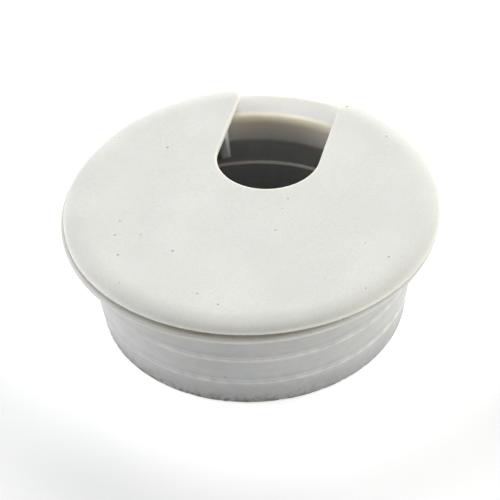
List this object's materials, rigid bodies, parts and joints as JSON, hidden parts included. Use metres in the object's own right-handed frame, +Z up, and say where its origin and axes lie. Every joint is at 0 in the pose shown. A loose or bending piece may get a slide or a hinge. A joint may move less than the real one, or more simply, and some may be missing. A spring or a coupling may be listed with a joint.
{
  "type": "desk grommet",
  "caption": "Round two-piece cable grommet: a flanged sleeve for a desk hole and a lift-off lid with a U-shaped cable notch open at its rim.",
  "frame": {"origin": "on the turning axis, at the level of the sleeve's lower rim, which is the bottom of the bounding box", "axes": "+Z up out of the desk top, +Y towards the open end of the lid's cable notch, +X to the right of the notch"},
  "size_m": [0.0702, 0.07, 0.0241],
  "materials": {
    "liner_plastic": "smooth moulded light grey plastic, satin",
    "lid_plastic": "finely textured moulded light warm grey plastic, matt"
  },
  "bodies": {
    "liner": {"liner": "liner_plastic"},
    "lid": {"lid": "lid_plastic"}
  },
  "joints": [
    {"name": "lid_lift", "type": "slide", "parent": "liner", "child": "lid", "axis": [0, 0, 1], "range_m": [0, 0.02]}
  ]
}
